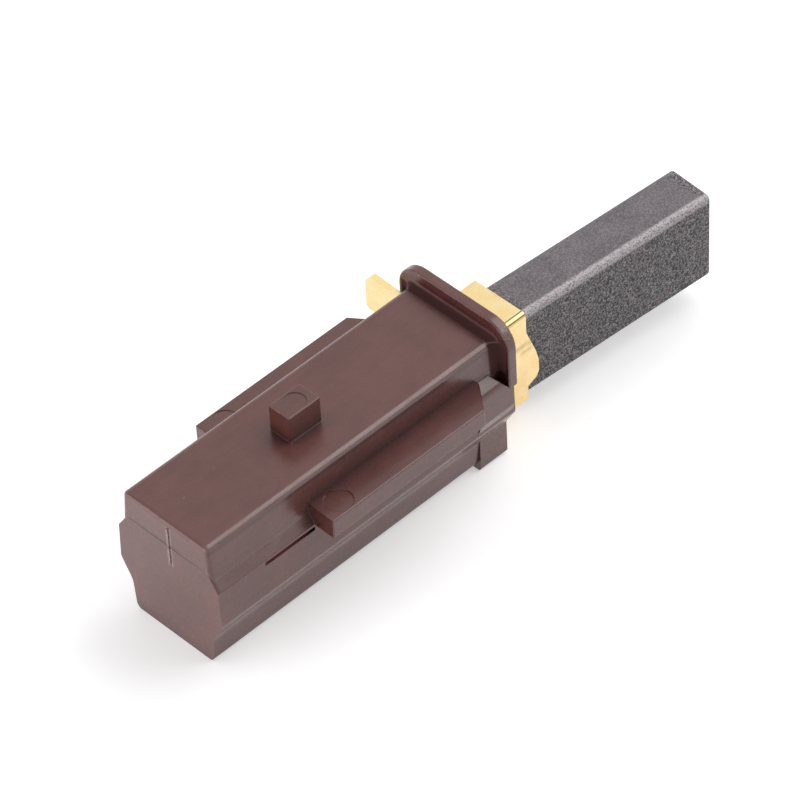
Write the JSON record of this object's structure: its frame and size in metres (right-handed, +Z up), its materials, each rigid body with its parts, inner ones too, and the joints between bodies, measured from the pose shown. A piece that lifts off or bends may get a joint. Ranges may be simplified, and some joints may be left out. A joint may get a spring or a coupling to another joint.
{
  "type": "carbon brush",
  "caption": "Carbon brush in a moulded holder with side rails, flange and latch nub, a folded brass sleeve, a side terminal blade and a sprung carbon block.",
  "frame": {"origin": "middle of the whole part's box at its base, the surface that the foot and the rear edge rest on", "axes": "+X from the holder's closed end towards the carbon's tip, +Y towards the terminal blade, +Z up from the resting surface"},
  "size_m": [0.0712, 0.0204, 0.0194],
  "materials": {
    "phenolic": "satin",
    "brass": "polished",
    "carbon": "matte",
    "copper": "satin",
    "spring_steel": "satin",
    "solder": "satin"
  },
  "bodies": {
    "housing": {"holder": "phenolic", "sleeve": "brass", "terminal": "brass", "spring": "spring_steel", "lead_weld": "solder", "lead": "copper"},
    "brush": {"carbon": "carbon", "lead_plug": "copper"}
  },
  "joints": [
    {"name": "brush_slide", "type": "slide", "parent": "housing", "child": "brush", "axis": [0.9982, -0.0593, 0.0071], "range_m": [-0.02, 0], "stiffness_N_per_m": 150, "springref_m": 0.01, "deforming": ["spring", "lead"]}
  ]
}
